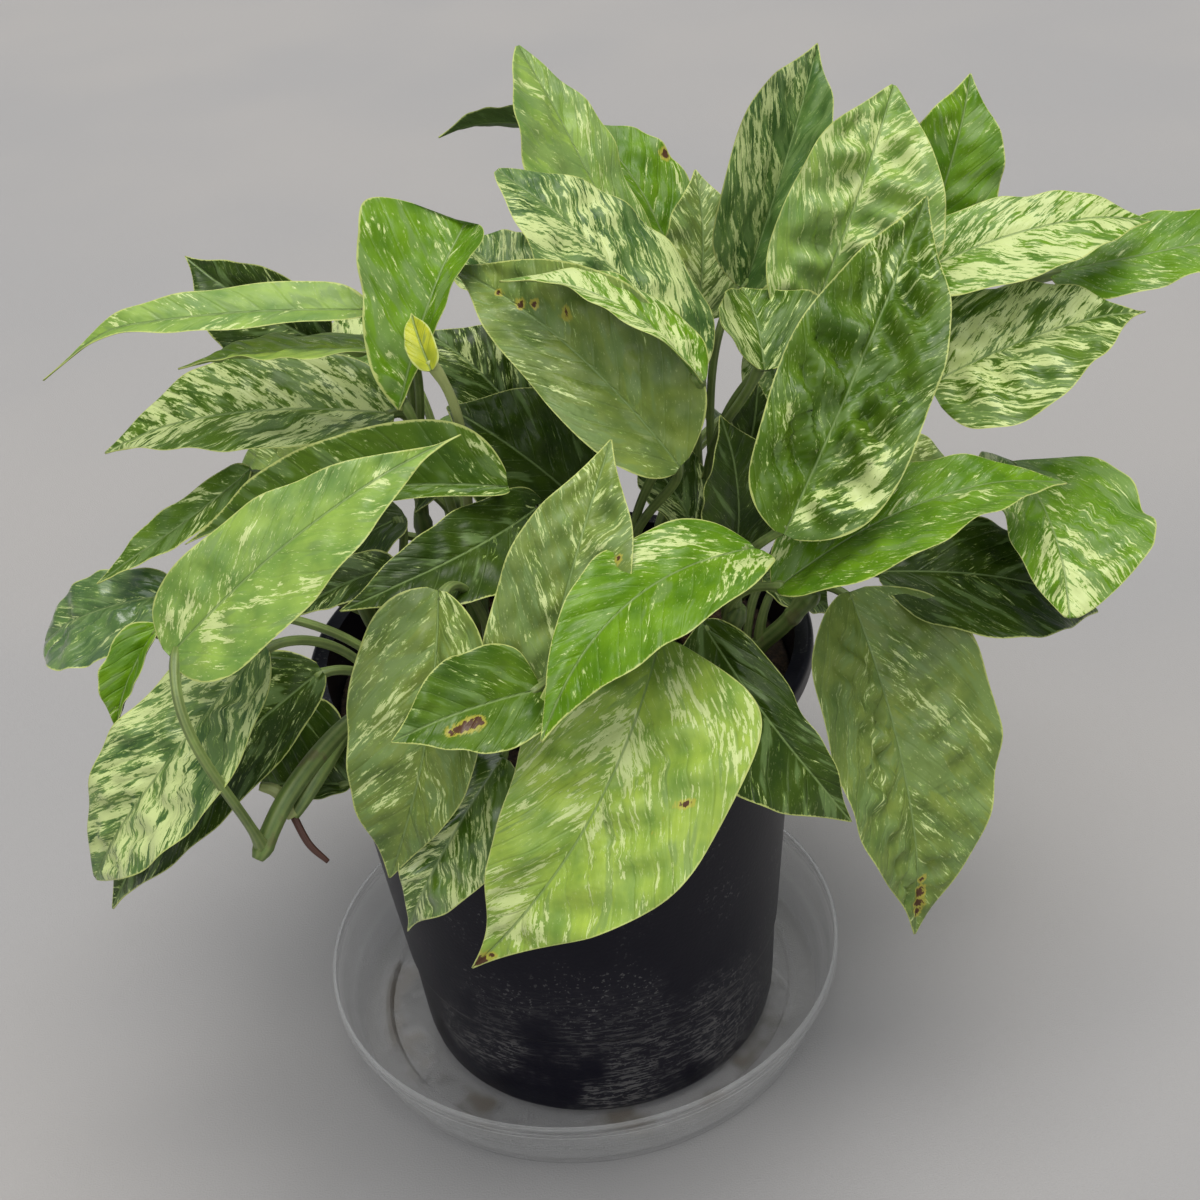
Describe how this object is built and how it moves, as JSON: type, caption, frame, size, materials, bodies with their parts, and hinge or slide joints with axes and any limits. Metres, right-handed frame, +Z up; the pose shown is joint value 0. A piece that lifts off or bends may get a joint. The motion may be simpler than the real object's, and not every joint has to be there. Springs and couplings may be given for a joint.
{
  "type": "potted krabi epipremnum pinnatum",
  "caption": "Variegated aroid house plant with broad marbled leaves, in a black tapered nursery pot on a clear drip saucer.",
  "frame": {"origin": "centre of the saucer's underside, on the surface that it stands on", "axes": "+Z up, +X to the plant's right as seen from its front, -Y towards its front"},
  "size_m": [0.4404, 0.3183, 0.3653],
  "materials": {
    "saucer": "clear, slightly scuffed",
    "pot": "black, dusty",
    "soil": "crumbly potting mix",
    "leaf": "leathery green with cream marbling"
  },
  "bodies": {
    "root": {"saucer": "saucer", "pot": "pot", "soil": "soil", "stem_crown_left": "leaf", "stem_crown_mid": "leaf", "stem_crown_right": "leaf", "stem_right_front": "leaf", "stem_right_back": "leaf", "stem_right_low": "leaf", "stem_front": "leaf", "stem_front_left": "leaf", "vine_left": "leaf", "stem_left_low": "leaf", "stem_left_mid": "leaf", "stem_left_top": "leaf", "stem_curled": "leaf", "stem_back_left": "leaf", "stem_back": "leaf", "stem_back_right": "leaf"}
  },
  "joints": []
}
